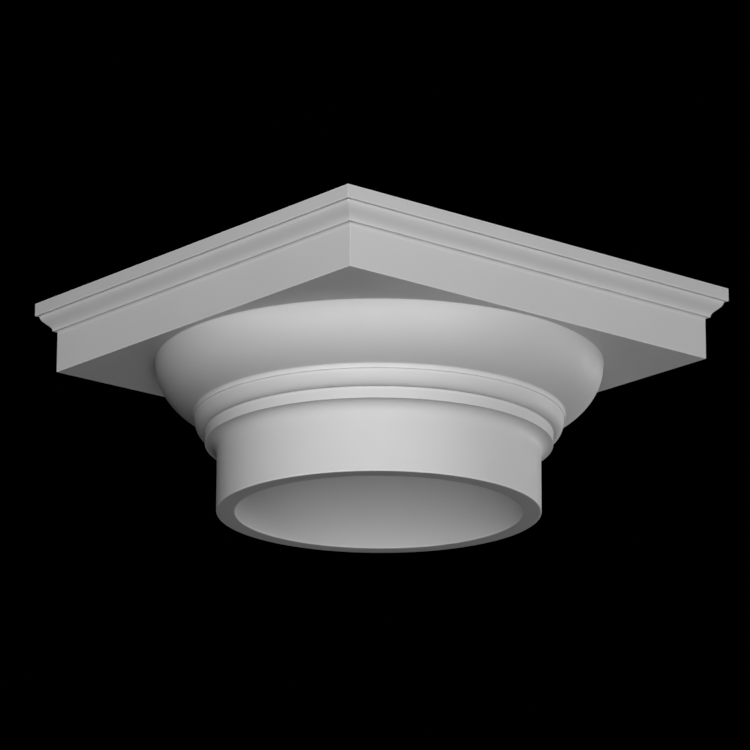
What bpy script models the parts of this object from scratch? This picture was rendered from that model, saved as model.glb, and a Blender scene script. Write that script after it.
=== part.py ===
"""Tuscan column capital, cast in one hollow piece and open from foot to top.

A round neck carries a cove, a fillet, a bead, a thin fillet and a broad echinus, and on the echinus lies a
square abacus with a cyma and a fascia round its top. The origin is the centre of the neck's foot, +Z is up, and
the sides of the square lie along X and Y. All lengths are in metres.
"""

import math

import bpy
import bmesh
from mathutils import Vector
from mathutils.geometry import interpolate_bezier

# Neck: the plain round shaft at the foot, and the wall between it and the bore.
NECK_RADIUS = 0.1500
WALL = 0.0176
NECK_HEIGHT = 0.0537

# Cove: the quarter-round hollow that spreads from the neck to the underside of the lower fillet.
COVE_RADIUS = 0.0110
COVE_LAND = 0.0003
LOWER_FILLET_HEIGHT = 0.0107

# Bead: overhangs the lower fillet by a small step, curls under at its foot and stands upright at its top.
BEAD_STEP = 0.0036
BEAD_RUN = 0.0066
BEAD_HEIGHT = 0.0139
BEAD_TURN = math.radians(80)

# Thin fillet over the bead, just proud of it.
UPPER_FILLET_STEP = 0.0009
UPPER_FILLET_HEIGHT = 0.0030

# Echinus: a small hollow at its foot, then the broad round, then a short upright lip under the soffit.
FOOT_HOLLOW_RADIUS = 0.0020
ECHINUS_RUN = 0.0349
ECHINUS_RISE = 0.0471
ECHINUS_TURN = math.radians(61)
ECHINUS_LIP = 0.0010

# Abacus: plain face, small step, cyma, deeper step and fascia, all square in plan.
SOFFIT_MARGIN = 0.0062
PLAIN_FACE_HEIGHT = 0.0400
CYMA_FOOT_STEP = 0.0034
CYMA_RUN = 0.0090
CYMA_HEIGHT = 0.0153
FASCIA_STEP = 0.0031
FASCIA_HEIGHT = 0.0124

# How far the cyma holds on upright before it turns, as shares of its height.
CYMA_UPPER_PULL = 0.48
CYMA_LOWER_PULL = 0.42

# Facets. The ring count is a multiple of four, so that each corner of the square faces a quarter of the ring.
RING_SEGMENTS = 96
COVE_STEPS = 6
BEAD_STEPS = 7
FOOT_HOLLOW_STEPS = 3
ECHINUS_STEPS = 12
CYMA_STEPS = 10

# White matt priming coat.
COATING_COLOUR = (0.82, 0.82, 0.81, 1.0)
COATING_ROUGHNESS = 0.62
SMOOTH_ANGLE = math.radians(25)


def clear_scene():
    """Empty the scene of objects."""
    for item in list(bpy.data.objects):
        bpy.data.objects.remove(item, do_unlink=True)


def hollow_arc(radius, height, size, turn, steps):
    """Circular hollow that starts upright at (radius, height) and spreads outward as it rises."""
    angles = [turn * step / steps for step in range(steps + 1)]
    return [(radius + size * (1 - math.cos(a)), height + size * math.sin(a)) for a in angles]


def round_arc(radius, height, run, rise, turn, steps):
    """Elliptic round that starts at its foot (radius, height), swells outward by run and ends upright."""
    across = run / (1 - math.cos(turn))
    along = rise / math.sin(turn)
    angles = [turn * (1 - step / steps) for step in range(steps + 1)]
    edge, top = radius + run, height + rise
    return [(edge - across * (1 - math.cos(a)), top - along * math.sin(a)) for a in angles]


def foot_slope(run, rise, turn):
    """Angle from upright at which a round of this run, rise and turn begins."""
    across = run / (1 - math.cos(turn))
    along = rise / math.sin(turn)
    return math.atan2(across * math.sin(turn), along * math.cos(turn))


def necking_outline():
    """Outside of the neck, cove and lower fillet, as (radius, height) pairs from the foot up."""
    outline = [(NECK_RADIUS, 0.0)]
    outline += hollow_arc(NECK_RADIUS, NECK_HEIGHT, COVE_RADIUS, math.pi / 2, COVE_STEPS)
    fillet_radius = outline[-1][0] + COVE_LAND
    fillet_foot = outline[-1][1]
    outline.append((fillet_radius, fillet_foot))
    outline.append((fillet_radius, fillet_foot + LOWER_FILLET_HEIGHT))
    return outline


def bead_outline(radius, height):
    """Outside of the bead and the thin fillet over it, upward from the lower fillet's top edge."""
    outline = round_arc(radius + BEAD_STEP, height, BEAD_RUN, BEAD_HEIGHT, BEAD_TURN, BEAD_STEPS)
    bead_radius, bead_top = outline[-1]
    outline.append((bead_radius + UPPER_FILLET_STEP, bead_top))
    return outline


def echinus_outline(radius, height):
    """Outside of the echinus with the hollow at its foot and its lip, upward from the thin fillet's top."""
    slope = foot_slope(ECHINUS_RUN, ECHINUS_RISE, ECHINUS_TURN)
    outline = hollow_arc(radius, height, FOOT_HOLLOW_RADIUS, slope, FOOT_HOLLOW_STEPS)
    foot_radius, foot = outline.pop()
    outline += round_arc(foot_radius, foot, ECHINUS_RUN, ECHINUS_RISE, ECHINUS_TURN, ECHINUS_STEPS)
    edge, top = outline[-1]
    outline.append((edge, top + ECHINUS_LIP))
    return outline


def turned_outline():
    """Outside of the whole turned part, as (radius, height) pairs from the foot up to the soffit."""
    outline = necking_outline()
    outline += bead_outline(*outline[-1])
    radius, bead_top = outline[-1]
    outline += echinus_outline(radius, bead_top + UPPER_FILLET_HEIGHT)
    return outline


def cyma_outline(half_width, height):
    """S-curve that rises from (half_width, height), upright at both ends and convex in its upper half."""
    foot = Vector((half_width, height))
    top = foot + Vector((CYMA_RUN, CYMA_HEIGHT))
    foot_handle = foot + Vector((0.0, CYMA_LOWER_PULL * CYMA_HEIGHT))
    top_handle = top - Vector((0.0, CYMA_UPPER_PULL * CYMA_HEIGHT))
    curve = interpolate_bezier(foot, foot_handle, top_handle, top, CYMA_STEPS + 1)
    return [(point.x, point.y) for point in curve]


def abacus_outline(echinus_radius, soffit):
    """Side of the square abacus, as (half width, height) pairs from the soffit up to the top."""
    half_width = echinus_radius + SOFFIT_MARGIN
    face_top = soffit + PLAIN_FACE_HEIGHT
    outline = [(half_width, soffit), (half_width, face_top)]
    outline += cyma_outline(half_width + CYMA_FOOT_STEP, face_top)
    fascia_half_width = outline[-1][0] + FASCIA_STEP
    fascia_foot = outline[-1][1]
    outline.append((fascia_half_width, fascia_foot))
    outline.append((fascia_half_width, fascia_foot + FASCIA_HEIGHT))
    return outline


def add_ring(mesh, radius, height):
    """Circle of vertices, counted anticlockwise from +X."""
    angles = [math.tau * index / RING_SEGMENTS for index in range(RING_SEGMENTS)]
    return [mesh.verts.new((radius * math.cos(a), radius * math.sin(a), height)) for a in angles]


def add_square(mesh, half_width, height):
    """The four corners of a square, counted anticlockwise from (+X, +Y)."""
    corners = ((1, 1), (-1, 1), (-1, -1), (1, -1))
    return [mesh.verts.new((half_width * x, half_width * y, height)) for x, y in corners]


def add_skin(mesh, loops):
    """Bands of faces from each loop to the next, facing outward where the loops are given from the foot up."""
    for lower, upper in zip(loops, loops[1:]):
        for index in range(len(lower)):
            after = (index + 1) % len(lower)
            mesh.faces.new((lower[index], lower[after], upper[after], upper[index]))


def add_plate(mesh, ring, square, facing_up):
    """Flat face between a ring and the square round it: a fan at each corner and a triangle on each side."""
    quarter = len(ring) // 4
    triangles = []
    for side, corner in enumerate(square):
        for index in range(side * quarter, (side + 1) * quarter):
            triangles.append((ring[(index + 1) % len(ring)], ring[index], corner))
        meeting = ring[(side + 1) * quarter % len(ring)]
        triangles.append((corner, square[(side + 1) % 4], meeting))
    for triangle in triangles:
        mesh.faces.new(triangle if facing_up else triangle[::-1])


def capital_mesh():
    """The casting as one closed mesh: turned outside, abacus, and the straight bore through both."""
    turned = turned_outline()
    echinus_radius, soffit = turned[-1]
    abacus = abacus_outline(echinus_radius, soffit)
    top = abacus[-1][1]
    bore_radius = NECK_RADIUS - WALL

    mesh = bmesh.new()
    outside = [add_ring(mesh, radius, height) for radius, height in turned]
    squares = [add_square(mesh, half_width, height) for half_width, height in abacus]
    bore = [add_ring(mesh, bore_radius, top), add_ring(mesh, bore_radius, 0.0)]

    add_skin(mesh, outside)
    add_plate(mesh, outside[-1], squares[0], facing_up=False)
    add_skin(mesh, squares)
    add_plate(mesh, bore[0], squares[-1], facing_up=True)
    add_skin(mesh, bore)
    add_skin(mesh, [bore[1], outside[0]])
    return mesh


def coating_material():
    """White matt priming coat over the casting."""
    material = bpy.data.materials.new("white_primer")
    material.use_nodes = True
    shader = material.node_tree.nodes["Principled BSDF"]
    shader.inputs["Base Color"].default_value = COATING_COLOUR
    shader.inputs["Roughness"].default_value = COATING_ROUGHNESS
    shader.inputs["Metallic"].default_value = 0.0
    return material


def add_capital():
    """Make the capital's object."""
    shape = capital_mesh()
    data = bpy.data.meshes.new("capital")
    shape.to_mesh(data)
    shape.free()
    data.shade_smooth()
    data.set_sharp_from_angle(angle=SMOOTH_ANGLE)
    data.materials.append(coating_material())
    capital = bpy.data.objects.new("capital", data)
    bpy.context.scene.collection.objects.link(capital)
    return capital


clear_scene()
add_capital()
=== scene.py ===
import math

import bpy
import bmesh
from mathutils import Matrix, Vector
from mathutils.geometry import interpolate_bezier


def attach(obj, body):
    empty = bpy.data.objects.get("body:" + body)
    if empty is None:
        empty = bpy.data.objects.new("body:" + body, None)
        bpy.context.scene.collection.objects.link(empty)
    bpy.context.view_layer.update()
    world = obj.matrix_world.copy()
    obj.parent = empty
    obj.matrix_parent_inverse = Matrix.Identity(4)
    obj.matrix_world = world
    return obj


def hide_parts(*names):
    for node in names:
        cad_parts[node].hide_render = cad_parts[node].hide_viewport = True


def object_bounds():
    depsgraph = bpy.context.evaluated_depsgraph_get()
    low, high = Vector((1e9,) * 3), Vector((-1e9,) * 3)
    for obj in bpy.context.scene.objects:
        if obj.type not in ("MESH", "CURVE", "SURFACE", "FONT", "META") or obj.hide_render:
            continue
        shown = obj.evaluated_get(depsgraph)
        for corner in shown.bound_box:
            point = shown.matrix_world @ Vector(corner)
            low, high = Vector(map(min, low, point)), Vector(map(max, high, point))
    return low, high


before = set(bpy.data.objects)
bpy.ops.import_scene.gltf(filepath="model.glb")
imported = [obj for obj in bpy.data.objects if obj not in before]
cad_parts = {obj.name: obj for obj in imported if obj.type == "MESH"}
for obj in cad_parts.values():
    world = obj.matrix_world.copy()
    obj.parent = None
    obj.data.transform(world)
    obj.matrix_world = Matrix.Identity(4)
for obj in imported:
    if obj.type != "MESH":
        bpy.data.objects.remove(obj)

# The capital's own sizes, in metres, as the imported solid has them. The square's half width and the height
# come from the frame.
cad_low, cad_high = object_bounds()
HALF_WIDTH = cad_high.x
HEIGHT = cad_high.z

NECK_RADIUS = 0.1500
WALL = 0.0176
NECK_HEIGHT = 0.0537
COVE_RADIUS = 0.0110
COVE_LAND = 0.0003
LOWER_FILLET_HEIGHT = 0.0107
BEAD_STEP = 0.0036
BEAD_RUN = 0.0066
BEAD_HEIGHT = 0.0139
BEAD_TURN = math.radians(80)
UPPER_FILLET_STEP = 0.0009
UPPER_FILLET_HEIGHT = 0.0030
FOOT_HOLLOW_RADIUS = 0.0020
ECHINUS_RUN = 0.0349
ECHINUS_RISE = 0.0471
ECHINUS_TURN = math.radians(61)
ECHINUS_LIP = 0.0010

# The abacus, from its top edge down.
FASCIA_HEIGHT = 0.0124
FASCIA_STEP = 0.0031
CYMA_HEIGHT = 0.0153
CYMA_RUN = 0.0090
CYMA_FOOT_STEP = 0.0034
CYMA_UPPER_PULL = 0.48
CYMA_LOWER_PULL = 0.42

# Radii that soften the arrises and inner corners, with larger ones for the foot and for the quirk under the
# cyma, and a smaller one for the upright corners of the square.
ARRIS = 0.0006
INNER_CORNER = 0.0005
FOOT_ARRIS = 0.0010
QUIRK_HOLLOW = 0.0015
UPRIGHT_ARRIS = 0.0004
ARRIS_STEPS = 4

# A turn of the outline below this is part of a curve, and an arc takes no more than this share of a side.
SHARP_TURN = math.radians(12)
MOST_REACH = 0.45

# The top is flat from this far inside the square's edge to this far outside the bore's.
PLATE_EDGE = 0.0060

# The painted highlight on an arris and the painted shade in an inner corner fade out over CORNER_LIGHT_FADE.
# Past the painted shade the flat gets a pale band of painted highlight, by the share CREASE_HALO, and that
# is gone at CREASE_HALO_FADE from the corner. A straight that is longer than FADE_ROOM times such a length
# has points where it ends.
CORNER_LIGHT_FADE = 0.0009
CREASE_HALO = 0.6
CREASE_HALO_FADE = 0.0030
FADE_ROOM = 3

# Rings of quads. Their count is a multiple of four, and each quarter gives some of its steps to the round of
# a corner.
RING_SEGMENTS = 320
CORNER_SEGMENTS = 8
COVE_STEPS = 12
BEAD_STEPS = 14
FOOT_HOLLOW_STEPS = 6
ECHINUS_STEPS = 36
CYMA_STEPS = 24
STRAIGHT_STEP = 0.0120

# Camera, as the photograph's: from below, with the near corner of the square a little left of the middle.
CAMERA_AZIMUTH = 49.918
CAMERA_ELEVATION = -16.428
CAMERA_DISTANCE = 4.0517
CAMERA_ROLL = 0.218
CAMERA_LENS_MM = 208.99
SENSOR_MM = 36.0
TARGET_SIDEWAYS = -0.00398
TARGET_HEIGHT = 0.13301

FLOOR_HEIGHT = -7.0
FLOOR_SIZE = 60.0

# Soft boxes, all of one size and at one distance from the middle of the capital. Their grids keep the light
# off the floor, and so off the capital's underside.
BOX_SIZE = 1.4
BOX_DISTANCE = 3.0
BOX_SPREAD = math.radians(90)

# Name, azimuth from the camera's and elevation in degrees, and power in watts.
SOFT_BOXES = [
    ("key", 0, -8, 13.0),
    ("key_top", 0, 5, 3.2),
    ("key_left", -20, 5, 2.3),
    ("rear_top", 180, 35, 22.7),
    ("right_rear", 125, 0, 9.5),
    ("low_rear", 150, -35, 1.6),
]

# Greys of the primer: the two of its mottle, the pale one of the painted highlight on the arrises and beside
# the inner corners, and the dark one of the painted shade in the inner corners, of which only a share shows.
COAT_DARK = 0.700
COAT_LIGHT = 0.730
ARRIS_HIGHLIGHT = 0.850
CREASE_SHADE = 0.400
CREASE_SHADE_SHARE = 0.10

# Range of the primer's roughness, and how far the painted highlight and shade of the corners show in their
# faint and their full patches.
ROUGHNESS = (0.56, 0.68)
CORNER_LIGHT_PATCHES = (0.55, 1.0)

# The part of a noise's values that is stretched over such a range.
NOISE_LOW = 0.3
NOISE_HIGH = 0.7

FLOOR_COLOUR = (0.72, 0.72, 0.71, 1.0)
FLOOR_ROUGHNESS = 0.8


def hollow_arc(radius, height, size, turn, steps):
    """Circular hollow that starts upright at (radius, height) and spreads outward as it rises."""
    angles = [turn * step / steps for step in range(steps + 1)]
    return [(radius + size * (1 - math.cos(a)), height + size * math.sin(a)) for a in angles]


def round_arc(radius, height, run, rise, turn, steps):
    """Elliptic round that starts at its foot (radius, height), swells outward by run and ends upright."""
    across = run / (1 - math.cos(turn))
    along = rise / math.sin(turn)
    angles = [turn * (1 - step / steps) for step in range(steps + 1)]
    edge, top = radius + run, height + rise
    return [(edge - across * (1 - math.cos(a)), top - along * math.sin(a)) for a in angles]


def foot_slope(run, rise, turn):
    """Angle from upright at which a round of this run, rise and turn begins."""
    across = run / (1 - math.cos(turn))
    along = rise / math.sin(turn)
    return math.atan2(across * math.sin(turn), along * math.cos(turn))


def turned_outline():
    """Outside of the turned part, as (radius, height) pairs from the foot up to the soffit."""
    outline = [(NECK_RADIUS, 0.0)]
    outline += hollow_arc(NECK_RADIUS, NECK_HEIGHT, COVE_RADIUS, math.pi / 2, COVE_STEPS)
    radius, height = outline[-1]
    radius += COVE_LAND
    outline += [(radius, height), (radius, height + LOWER_FILLET_HEIGHT)]
    height += LOWER_FILLET_HEIGHT
    outline += round_arc(radius + BEAD_STEP, height, BEAD_RUN, BEAD_HEIGHT, BEAD_TURN, BEAD_STEPS)
    radius, height = outline[-1]
    radius += UPPER_FILLET_STEP
    outline.append((radius, height))
    slope = foot_slope(ECHINUS_RUN, ECHINUS_RISE, ECHINUS_TURN)
    height += UPPER_FILLET_HEIGHT
    outline += hollow_arc(radius, height, FOOT_HOLLOW_RADIUS, slope, FOOT_HOLLOW_STEPS)
    radius, height = outline.pop()
    outline += round_arc(radius, height, ECHINUS_RUN, ECHINUS_RISE, ECHINUS_TURN, ECHINUS_STEPS)
    radius, height = outline[-1]
    outline.append((radius, height + ECHINUS_LIP))
    return outline


def cyma_outline(half_width, height):
    """S-curve that rises from (half_width, height), upright at both ends and convex in its upper half."""
    foot = Vector((half_width, height))
    top = foot + Vector((CYMA_RUN, CYMA_HEIGHT))
    foot_handle = foot + Vector((0.0, CYMA_LOWER_PULL * CYMA_HEIGHT))
    top_handle = top - Vector((0.0, CYMA_UPPER_PULL * CYMA_HEIGHT))
    curve = interpolate_bezier(foot, foot_handle, top_handle, top, CYMA_STEPS + 1)
    return [(point.x, point.y) for point in curve]


def abacus_outline(soffit):
    """Side of the square abacus, as (half width, height) pairs from the soffit up to the top."""
    plain_half_width = HALF_WIDTH - FASCIA_STEP - CYMA_RUN - CYMA_FOOT_STEP
    fascia_foot = HEIGHT - FASCIA_HEIGHT
    face_top = fascia_foot - CYMA_HEIGHT
    outline = [(plain_half_width, soffit), (plain_half_width, face_top)]
    outline += cyma_outline(plain_half_width + CYMA_FOOT_STEP, face_top)
    outline += [(HALF_WIDTH, fascia_foot), (HALF_WIDTH, HEIGHT)]
    return outline


def soften(outline, sizes):
    """The outline with a small arc at each sharp corner, as pairs of a point and the mark of its painted
    light.

    The mark is 1 on an arris, for a painted highlight, -1 in an inner corner, for painted shade, and 0
    between.
    The radius of some corners is given by index in sizes.
    """
    points = [Vector(point) for point in outline]
    softened = [(points[0], 0.0)]
    for index in range(1, len(points) - 1):
        before, here, after = points[index - 1:index + 2]
        inward, outward = (here - before), (after - here)
        turn = inward.angle_signed(outward)
        if abs(turn) < SHARP_TURN:
            softened.append((here, 0.0))
            continue
        usual = ARRIS if turn < 0 else INNER_CORNER
        size = sizes.get(index, usual)
        reach = size * math.tan(abs(turn) / 2)
        reach = min(reach, MOST_REACH * inward.length, MOST_REACH * outward.length)
        start = here - inward.normalized() * reach
        end = here + outward.normalized() * reach
        pull = 4 / 3 * math.tan(abs(turn) / 4) / math.tan(abs(turn) / 2)
        arc = interpolate_bezier(start, start.lerp(here, pull), end.lerp(here, pull), end, ARRIS_STEPS + 1)
        softened += [(point, 1.0 if turn < 0 else -1.0) for point in arc]
    softened.append((points[-1], 0.0))
    return softened


def fill_straights(section):
    """The section with extra points along its straight runs and where the painted light of a corner changes.
    """
    filled = [section[0]]
    for (start, start_painted_light), (end, end_painted_light) in zip(section, section[1:]):
        length = (end - start).length
        parts = max(1, math.ceil(length / STRAIGHT_STEP))
        stops = {part / parts for part in range(1, parts)}
        for fade in (CORNER_LIGHT_FADE, CREASE_HALO_FADE):
            if length > FADE_ROOM * fade:
                stops |= {fade / length, 1 - fade / length}
        filled += [(start.lerp(end, stop), 0.0) for stop in sorted(stops)]
        filled.append((end, end_painted_light))
    return filled


def fading_painted_light(corner_painted_light, gap):
    """Painted light at this distance from a corner: past an arris the highlight is gone, past an inner
    corner the shade turns into a pale band of painted highlight.
    """
    beside = 0.0 if corner_painted_light > 0 else CREASE_HALO
    if gap < CORNER_LIGHT_FADE:
        return corner_painted_light + (beside - corner_painted_light) * gap / CORNER_LIGHT_FADE
    return beside * max(0.0, (CREASE_HALO_FADE - gap) / (CREASE_HALO_FADE - CORNER_LIGHT_FADE))


def spread_painted_light(section):
    """The section with the painted light of each corner fading out over the points beside it."""
    places = [0.0]
    for (start, _), (end, _) in zip(section, section[1:]):
        places.append(places[-1] + (end - start).length)
    corners = [(place, painted_light) for place, (_, painted_light) in zip(places, section) if painted_light]
    spread = []
    for place, (point, _) in zip(places, section):
        corner_place, corner_painted_light = min(corners, key=lambda corner: abs(corner[0] - place))
        spread.append((point, fading_painted_light(corner_painted_light, abs(corner_place - place))))
    return spread


def finished_section(outline, sizes):
    """The softened outline with all its points and their painted light."""
    return spread_painted_light(fill_straights(soften(outline, sizes)))


def circle(radius):
    """Points of a circle in plan, anticlockwise from the direction of a square's corner."""
    angles = [math.pi / 4 + math.tau * index / RING_SEGMENTS for index in range(RING_SEGMENTS)]
    return [(radius * math.cos(a), radius * math.sin(a)) for a in angles]


def rounded_square(half_width, corner_radius):
    """Points of a square in plan with rounded corners, anticlockwise from the middle of a corner."""
    quarter = RING_SEGMENTS // 4
    half_corner = CORNER_SEGMENTS // 2
    straight = quarter - CORNER_SEGMENTS
    centre = half_width - corner_radius
    points = []
    for side in range(4):
        turn = Matrix.Rotation(side * math.pi / 2, 2)
        for step in range(quarter):
            if step <= half_corner:
                angle = math.pi / 4 + math.pi / 4 * step / half_corner
                point = (centre + corner_radius * math.cos(angle), centre + corner_radius * math.sin(angle))
            elif step < half_corner + straight:
                point = (centre * (1 - 2 * (step - half_corner) / straight), half_width)
            else:
                angle = math.pi / 2 + math.pi / 4 * (step - half_corner - straight) / half_corner
                point = (-centre + corner_radius * math.cos(angle), centre + corner_radius * math.sin(angle))
            points.append(turn @ Vector(point))
    return points


def add_loop(mesh, plan, height, painted_light):
    """A loop of vertices at one height, each with the painted light of its place in the section."""
    layer = mesh.verts.layers.float["painted_light"]
    loop = [mesh.verts.new((point[0], point[1], height)) for point in plan]
    for vertex in loop:
        vertex[layer] = painted_light
    return loop


def add_skin(mesh, loops):
    """Bands of quads from each loop to the next, and from the last one back to the first."""
    for lower, upper in zip(loops, loops[1:] + loops[:1]):
        for index in range(len(lower)):
            after = (index + 1) % len(lower)
            mesh.faces.new((lower[index], lower[after], upper[after], upper[index]))


def section_loops(mesh):
    """Every loop of the casting in order: from the foot up the outside, over the top and down the bore."""
    turned = turned_outline()
    echinus_radius, soffit = turned[-1]
    bore_radius = NECK_RADIUS - WALL
    foot_middle = (NECK_RADIUS - WALL / 2, 0.0)
    turned = [foot_middle] + turned + [(echinus_radius + CREASE_HALO_FADE, soffit)]
    abacus = abacus_outline(soffit)
    abacus = [(abacus[0][0] - CORNER_LIGHT_FADE, soffit)] + abacus + [(HALF_WIDTH - PLATE_EDGE, HEIGHT)]
    bore = [(bore_radius + PLATE_EDGE, HEIGHT), (bore_radius, HEIGHT), (bore_radius, 0.0), foot_middle]

    turned = finished_section(turned, {1: FOOT_ARRIS})
    abacus = finished_section(abacus, {2: QUIRK_HOLLOW})
    bore = finished_section(bore, {2: FOOT_ARRIS})[:-1]
    loops = [add_loop(mesh, circle(point.x), point.y, painted_light) for point, painted_light in turned]
    for point, painted_light in abacus:
        loops.append(add_loop(mesh, rounded_square(point.x, UPRIGHT_ARRIS), point.y, painted_light))
    loops += [add_loop(mesh, circle(point.x), point.y, painted_light) for point, painted_light in bore]
    return loops


def build_capital():
    """The casting as one closed mesh with softened arrises."""
    mesh = bmesh.new()
    mesh.verts.layers.float.new("painted_light")
    add_skin(mesh, section_loops(mesh))
    data = bpy.data.meshes.new("capital_casting")
    mesh.to_mesh(data)
    mesh.free()
    data.shade_smooth()
    casting = bpy.data.objects.new("capital_casting", data)
    bpy.context.scene.collection.objects.link(casting)
    normals = casting.modifiers.new("flat_faces_stay_flat", "WEIGHTED_NORMAL")
    normals.mode = "FACE_AREA"
    normals.weight = 100
    return casting


def grey(value):
    return (value, value, value, 1.0)


def primer_material():
    """White matt primer on a smooth casting.

    It has a faint mottle, a fine grain and a soft unevenness, a painted highlight along the arrises and
    beside the inner corners, and painted shade in the inner corners.
    """
    material = bpy.data.materials.new("white_primer")
    material.use_nodes = True
    tree = material.node_tree
    shader = tree.nodes["Principled BSDF"]
    shader.inputs["Metallic"].default_value = 0.0
    shader.inputs["IOR"].default_value = 1.45

    place = tree.nodes.new("ShaderNodeTexCoord")

    def noise(scale, detail):
        node = tree.nodes.new("ShaderNodeTexNoise")
        node.inputs["Scale"].default_value = scale
        node.inputs["Detail"].default_value = detail
        tree.links.new(place.outputs["Object"], node.inputs["Vector"])
        return node.outputs["Fac"]

    def spread(value, low, high):
        """A noise stretched to run from low to high."""
        node = tree.nodes.new("ShaderNodeMapRange")
        node.inputs["From Min"].default_value = NOISE_LOW
        node.inputs["From Max"].default_value = NOISE_HIGH
        node.inputs["To Min"].default_value = low
        node.inputs["To Max"].default_value = high
        tree.links.new(value, node.inputs["Value"])
        return node.outputs["Result"]

    def blend(factor, first, second):
        """Mix of two colours, of which the first may be the output of a node."""
        node = tree.nodes.new("ShaderNodeMix")
        node.data_type = "RGBA"
        tree.links.new(factor, node.inputs["Factor"])
        if isinstance(first, tuple):
            node.inputs["A"].default_value = first
        else:
            tree.links.new(first, node.inputs["A"])
        node.inputs["B"].default_value = second
        return node.outputs["Result"]

    def bump(height, strength, distance):
        node = tree.nodes.new("ShaderNodeBump")
        node.inputs["Strength"].default_value = strength
        node.inputs["Distance"].default_value = distance
        tree.links.new(height, node.inputs["Height"])
        return node

    def painted_light_share(sign, most):
        """How far the painted light of this sign shows, in patches, from 0 to most: highlight for 1, shade
        for -1.
        """
        painted_light = tree.nodes.new("ShaderNodeAttribute")
        painted_light.attribute_name = "painted_light"
        share = tree.nodes.new("ShaderNodeMapRange")
        share.inputs["From Min"].default_value = 0.0
        share.inputs["From Max"].default_value = sign
        share.inputs["To Max"].default_value = most
        tree.links.new(painted_light.outputs["Fac"], share.inputs["Value"])
        patches = tree.nodes.new("ShaderNodeMath")
        patches.operation = "MULTIPLY"
        tree.links.new(share.outputs["Result"], patches.inputs[0])
        tree.links.new(spread(noise(scale=38.0, detail=3.0), *CORNER_LIGHT_PATCHES), patches.inputs[1])
        return patches.outputs["Value"]

    mottle = spread(noise(scale=9.0, detail=4.0), 0.0, 1.0)
    coat = blend(mottle, grey(COAT_DARK), grey(COAT_LIGHT))
    # Painted highlight: pale grey on the arrises and in a band beside the inner corners.
    highlighted = blend(painted_light_share(1.0, 1.0), coat, grey(ARRIS_HIGHLIGHT))
    # Painted shade: dark grey in the inner corners, of which only a share shows.
    shaded = blend(painted_light_share(-1.0, CREASE_SHADE_SHARE), highlighted, grey(CREASE_SHADE))
    tree.links.new(shaded, shader.inputs["Base Color"])

    cloud = noise(scale=45.0, detail=3.0)
    tree.links.new(spread(cloud, *ROUGHNESS), shader.inputs["Roughness"])

    grain = bump(noise(scale=1600.0, detail=2.0), strength=0.25, distance=0.00004)
    waves = bump(noise(scale=60.0, detail=1.0), strength=0.2, distance=0.0003)
    tree.links.new(grain.outputs["Normal"], waves.inputs["Normal"])
    tree.links.new(waves.outputs["Normal"], shader.inputs["Normal"])
    return material


def floor_material():
    """Plain matt material, almost white."""
    material = bpy.data.materials.new("pale_floor")
    material.use_nodes = True
    shader = material.node_tree.nodes["Principled BSDF"]
    shader.inputs["Base Color"].default_value = FLOOR_COLOUR
    shader.inputs["Roughness"].default_value = FLOOR_ROUGHNESS
    return material


def add_floor():
    """Plain pale floor, far enough down for the camera to look up at the capital from above it."""
    bpy.ops.mesh.primitive_plane_add(size=FLOOR_SIZE, location=(0.0, 0.0, FLOOR_HEIGHT))
    floor = bpy.context.object
    floor.name = "floor"
    floor.data.materials.append(floor_material())


def direction(azimuth, elevation):
    """Unit vector from the object towards a viewer at this azimuth and elevation, in degrees."""
    a, e = math.radians(azimuth), math.radians(elevation)
    return Vector((math.sin(a) * math.cos(e), -math.cos(a) * math.cos(e), math.sin(e)))


def add_camera():
    """Camera that looks up at the capital over its near corner."""
    back = direction(CAMERA_AZIMUTH, CAMERA_ELEVATION)
    sideways = direction(CAMERA_AZIMUTH + 90, 0.0)
    target = TARGET_SIDEWAYS * sideways + Vector((0.0, 0.0, TARGET_HEIGHT))
    data = bpy.data.cameras.new("camera")
    data.sensor_width = SENSOR_MM
    data.lens = CAMERA_LENS_MM
    camera = bpy.data.objects.new("camera", data)
    aim = (-back).to_track_quat("-Z", "Y").to_matrix()
    turn = aim @ Matrix.Rotation(math.radians(CAMERA_ROLL), 3, "Z")
    camera.matrix_world = Matrix.Translation(target + CAMERA_DISTANCE * back) @ turn.to_4x4()
    bpy.context.scene.collection.objects.link(camera)
    bpy.context.scene.camera = camera


def add_soft_box(name, azimuth, elevation, power):
    """Square soft box with a grid over it, that faces the middle of the capital."""
    middle = Vector((0.0, 0.0, HEIGHT / 2))
    towards = direction(azimuth, elevation)
    data = bpy.data.lights.new(name, "AREA")
    data.shape = "SQUARE"
    data.size = BOX_SIZE
    data.energy = power
    data.spread = BOX_SPREAD
    light = bpy.data.objects.new(name, data)
    aim = towards.to_track_quat("Z", "Y").to_matrix().to_4x4()
    light.matrix_world = Matrix.Translation(middle + BOX_DISTANCE * towards) @ aim
    bpy.context.scene.collection.objects.link(light)


def add_lights():
    """Soft boxes in a dark studio."""
    world = bpy.data.worlds.new("dark_studio")
    world.use_nodes = True
    world.node_tree.nodes["Background"].inputs["Color"].default_value = grey(0.0)
    bpy.context.scene.world = world
    for name, azimuth, elevation, power in SOFT_BOXES:
        add_soft_box(name, CAMERA_AZIMUTH + azimuth, elevation, power)


casting = build_capital()
casting.data.materials.append(primer_material())
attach(casting, "root")
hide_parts("capital")

add_floor()
add_lights()
add_camera()
bpy.context.scene.view_settings.view_transform = "Standard"
